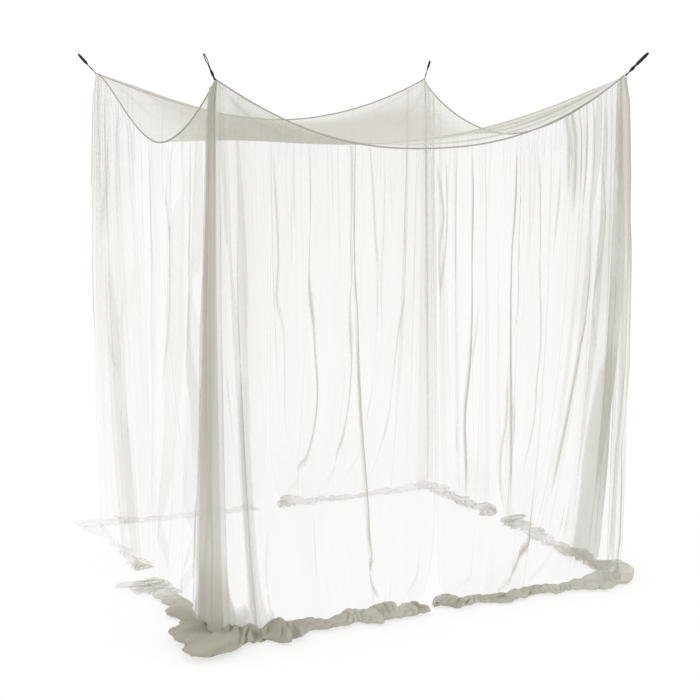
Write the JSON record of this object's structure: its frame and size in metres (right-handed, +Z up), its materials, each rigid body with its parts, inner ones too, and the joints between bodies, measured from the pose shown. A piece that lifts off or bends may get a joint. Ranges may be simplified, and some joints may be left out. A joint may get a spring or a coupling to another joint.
{
  "type": "gazebo mosquito net",
  "caption": "Sheer cream mosquito net for a gazebo: sagging roof sheet, gathered walls parting at each side, hems pooled on the floor, and black corner ties with loops.",
  "frame": {"origin": "middle of the open loop at the end of the front left corner tie", "axes": "+Z up; +X along the net's front, from its left to its right; +Y from its front to its back. The floor that the hems lie on is z = -2.4696."},
  "size_m": [2.393, 2.3439, 2.5192],
  "materials": {
    "cream_netting": "sheer cream polyester mesh, matt",
    "binding_tape": "folded netting tape, matt",
    "black_tie": "black woven cord, matt"
  },
  "bodies": {
    "root": {"corner_tie_back_left": "black_tie", "corner_tie_back_right": "black_tie", "corner_tie_front_left": "black_tie", "corner_tie_front_right": "black_tie", "roof_sheet": "cream_netting", "top_binding": "binding_tape", "wall_panel_back_left": "cream_netting", "wall_panel_back_right": "cream_netting", "wall_panel_front_left": "cream_netting", "wall_panel_front_right": "cream_netting"}
  },
  "joints": []
}
